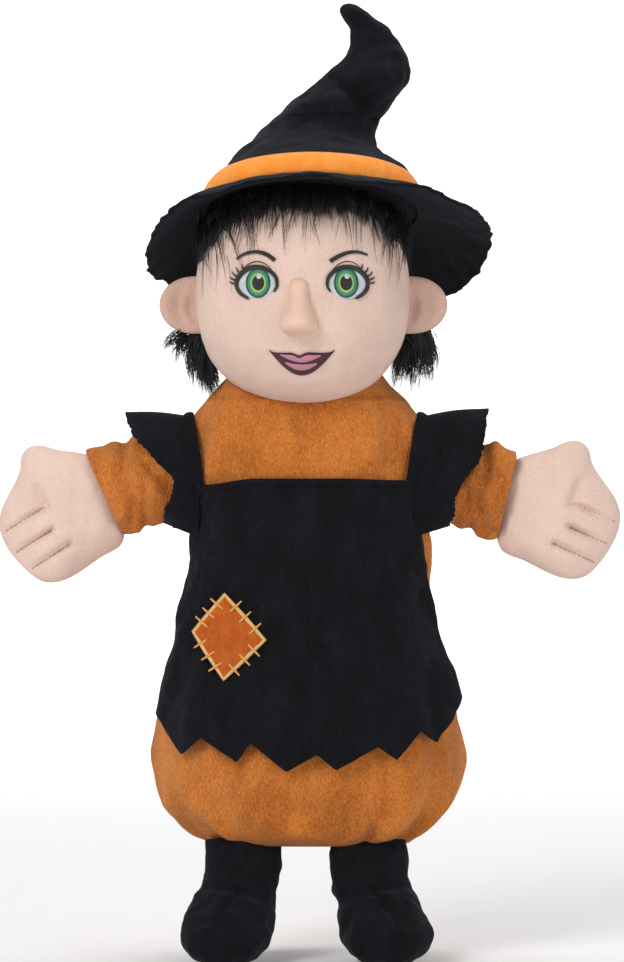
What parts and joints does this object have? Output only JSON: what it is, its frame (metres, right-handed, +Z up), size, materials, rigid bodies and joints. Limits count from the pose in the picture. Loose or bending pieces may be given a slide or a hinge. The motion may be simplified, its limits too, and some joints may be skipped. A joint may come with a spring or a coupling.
{
  "type": "hand puppet",
  "caption": "Soft glove puppet of a witch in a frock, apron and crooked brimmed hat, with a stuffed head, mitten hands and boots, worked by a hand inside.",
  "frame": {"origin": "centre of the glove's mouth, at the bottom of the frock", "axes": "+Z up towards the head, the face looks along -Y, the puppet's own left arm points along +X"},
  "size_m": [0.2441, 0.1095, 0.3761],
  "materials": {
    "orange_plush": "matte",
    "grey_knit": "matte",
    "black_velour": "matte",
    "rust_felt": "matte",
    "yellow_thread": "satin",
    "card": "matte",
    "flesh_plush": "matte",
    "nose_plush": "matte",
    "fibre_filling": "matte",
    "dark_thread": "satin",
    "green_thread": "satin",
    "white_thread": "satin",
    "pink_thread": "satin",
    "plum_thread": "satin",
    "black_fur": "satin",
    "orange_felt": "matte"
  },
  "bodies": {
    "glove": {"frock_front": "orange_plush", "frock_back": "orange_plush", "hem_facing": "orange_plush", "glove_lining": "grey_knit", "apron_panel": "black_velour", "apron_binding": "black_velour", "strap_left": "black_velour", "strap_right": "black_velour", "patch": "rust_felt", "patch_stitching": "yellow_thread"},
    "neck": {"finger_tube": "card", "collar": "orange_plush"},
    "head": {"face_panel": "flesh_plush", "head_back_panel": "flesh_plush", "head_filling": "fibre_filling", "nose": "nose_plush", "pupil_left": "dark_thread", "iris_left": "green_thread", "eye_white_left": "white_thread", "lash_line_left": "dark_thread", "brow_left": "dark_thread", "pupil_right": "dark_thread", "iris_right": "green_thread", "eye_white_right": "white_thread", "lash_line_right": "dark_thread", "brow_right": "dark_thread", "upper_lip": "pink_thread", "lower_lip": "pink_thread", "lip_outline": "plum_thread", "ear_left": "flesh_plush", "ear_right": "flesh_plush", "hair_back": "black_fur", "hair_fringe": "black_fur", "hair_tuft_left": "black_fur", "hair_tuft_right": "black_fur", "hat_crown": "black_velour", "hat_filling": "fibre_filling", "hat_band": "orange_felt", "hat_brim": "black_velour"},
    "hat_tip": {"hat_tip": "black_velour"},
    "shoulder_left": {"armhole_seam_left": "orange_plush"},
    "arm_left": {"sleeve_left": "orange_plush", "cuff_left": "orange_plush", "sleeve_lining_left": "grey_knit", "ruffle_left": "black_velour"},
    "hand_left": {"hand_palm_left": "flesh_plush", "hand_back_left": "flesh_plush", "hand_filling_left": "fibre_filling"},
    "leg_left": {"boot_left": "black_velour", "boot_filling_left": "fibre_filling"},
    "shoulder_right": {"armhole_seam_right": "orange_plush"},
    "arm_right": {"sleeve_right": "orange_plush", "cuff_right": "orange_plush", "sleeve_lining_right": "grey_knit", "ruffle_right": "black_velour"},
    "hand_right": {"hand_palm_right": "flesh_plush", "hand_back_right": "flesh_plush", "hand_filling_right": "fibre_filling"},
    "leg_right": {"boot_right": "black_velour", "boot_filling_right": "fibre_filling"}
  },
  "joints": [
    {"name": "neck_turn", "type": "hinge", "parent": "glove", "child": "neck", "pos_m": [0, 0.003, 0.178], "axis": [0, 0, 1], "range_deg": [-25, 25]},
    {"name": "head_nod", "type": "hinge", "parent": "neck", "child": "head", "pos_m": [0, 0.003, 0.186], "axis": [1, 0, 0], "range_deg": [-8, 12]},
    {"name": "hat_tip_flop", "type": "hinge", "parent": "head", "child": "hat_tip", "pos_m": [0.0176, 0.003, 0.2984], "axis": [0, 1, 0], "range_deg": [-18, 18]},
    {"name": "shoulder_left_swing", "type": "hinge", "parent": "glove", "child": "shoulder_left", "pos_m": [0.045, 0, 0.151], "axis": [0, 0, -1], "range_deg": [-6, 30]},
    {"name": "shoulder_left_lift", "type": "hinge", "parent": "shoulder_left", "child": "arm_left", "pos_m": [0.045, 0, 0.151], "axis": [0, -1, 0], "range_deg": [-16, 18]},
    {"name": "wrist_left", "type": "hinge", "parent": "arm_left", "child": "hand_left", "pos_m": [0.07924, 0, 0.13988], "axis": [0.309, 0, 0.9511], "range_deg": [-12, 12]},
    {"name": "hip_left", "type": "hinge", "parent": "glove", "child": "leg_left", "pos_m": [0.0245, -0.0225, -0.0015], "axis": [1, 0, 0], "range_deg": [-25, 25]},
    {"name": "shoulder_right_swing", "type": "hinge", "parent": "glove", "child": "shoulder_right", "pos_m": [-0.045, 0, 0.151], "axis": [0, 0, 1], "range_deg": [-6, 30]},
    {"name": "shoulder_right_lift", "type": "hinge", "parent": "shoulder_right", "child": "arm_right", "pos_m": [-0.045, 0, 0.151], "axis": [0, 1, 0], "range_deg": [-16, 18]},
    {"name": "wrist_right", "type": "hinge", "parent": "arm_right", "child": "hand_right", "pos_m": [-0.07952, 0, 0.14078], "axis": [-0.284, 0, 0.9588], "range_deg": [-12, 12]},
    {"name": "hip_right", "type": "hinge", "parent": "glove", "child": "leg_right", "pos_m": [-0.0245, -0.0225, -0.0015], "axis": [1, 0, 0], "range_deg": [-25, 25]}
  ]
}
